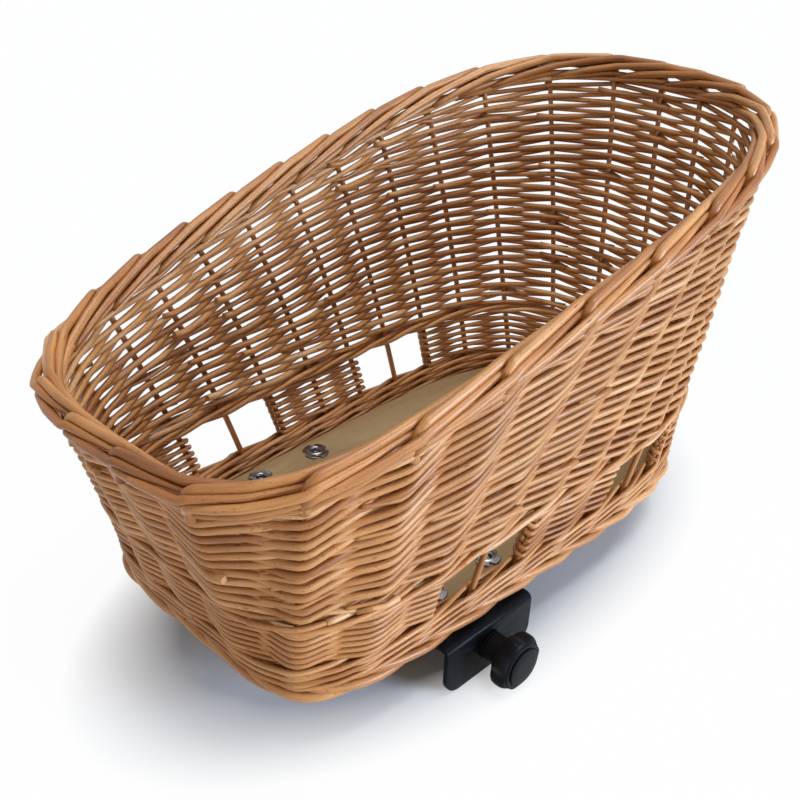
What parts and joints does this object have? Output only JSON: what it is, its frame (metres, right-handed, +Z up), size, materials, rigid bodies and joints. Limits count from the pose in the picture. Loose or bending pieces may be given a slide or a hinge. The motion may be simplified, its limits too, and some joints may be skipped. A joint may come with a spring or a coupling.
{
  "type": "bicycle pet basket",
  "caption": "Woven willow pet basket with a sloping rim, plywood floor and strap windows, held on a bicycle carrier by knob-tightened hook clamps.",
  "frame": {"origin": "under the middle of the rim, on the ground that the brackets stand on", "axes": "+X towards the tall end, +Y towards the far long side, +Z up"},
  "size_m": [0.516, 0.291, 0.3075],
  "materials": {
    "willow": "satin natural willow",
    "plywood": "matt birch plywood",
    "zinc": "zinc plated",
    "black_coat": "semi-gloss powder coat",
    "black_plastic": "satin moulded"
  },
  "bodies": {
    "basket": {"foot_border": "willow", "bottom_wale": "willow", "panel_low_end": "willow", "panel_near_side": "willow", "panel_tall_end": "willow", "panel_far_side": "willow", "siding": "willow", "rim_border": "willow", "woven_bottom": "willow", "stake_01": "willow", "stake_02": "willow", "stake_03": "willow", "stake_04": "willow", "stake_05": "willow", "stake_06": "willow", "stake_07": "willow", "stake_08": "willow", "stake_09": "willow", "stake_10": "willow", "stake_11": "willow", "stake_12": "willow", "stake_13": "willow", "stake_14": "willow", "stake_15": "willow", "stake_16": "willow", "stake_17": "willow", "stake_18": "willow", "stake_19": "willow", "stake_20": "willow", "stake_21": "willow", "stake_22": "willow", "stake_23": "willow", "stake_24": "willow", "stake_25": "willow", "stake_26": "willow", "stake_27": "willow", "stake_28": "willow", "floor_board": "plywood", "tee_nut_1": "zinc", "bracket_screw_1": "zinc", "tee_nut_2": "zinc", "bracket_screw_2": "zinc", "tee_nut_3": "zinc", "bracket_screw_3": "zinc", "tee_nut_4": "zinc", "bracket_screw_4": "zinc", "bracket_far": "black_coat", "washer_far": "black_coat", "bracket_near": "black_coat", "washer_near": "black_coat"},
    "knob_near": {"knob_near": "black_plastic", "knob_cap_near": "black_plastic", "stud_near": "zinc"},
    "hook_near": {"hook_plate_near": "black_coat", "hook_nut_near": "zinc"},
    "knob_far": {"knob_far": "black_plastic", "knob_cap_far": "black_plastic", "stud_far": "zinc"},
    "hook_far": {"hook_plate_far": "black_coat", "hook_nut_far": "zinc"}
  },
  "joints": [
    {"name": "knob_near_turn", "type": "hinge", "parent": "basket", "child": "knob_near", "pos_m": [-0.066, -0.127, 0.0193], "axis": [0, 1, 0], "range_deg": [0, 4330]},
    {"name": "hook_near_slide", "type": "slide", "parent": "basket", "child": "hook_near", "axis": [0, -1, 0], "range_m": [0, 0.012]},
    {"name": "knob_far_turn", "type": "hinge", "parent": "basket", "child": "knob_far", "pos_m": [-0.066, 0.127, 0.0193], "axis": [0, -1, 0], "range_deg": [0, 4330]},
    {"name": "hook_far_slide", "type": "slide", "parent": "basket", "child": "hook_far", "axis": [0, 1, 0], "range_m": [0, 0.012]}
  ],
  "couplings": [
    {"joint": "knob_near_turn", "follows": "hook_near_slide", "rad_per_m": 6283.2},
    {"joint": "knob_far_turn", "follows": "hook_far_slide", "rad_per_m": 6283.2}
  ]
}
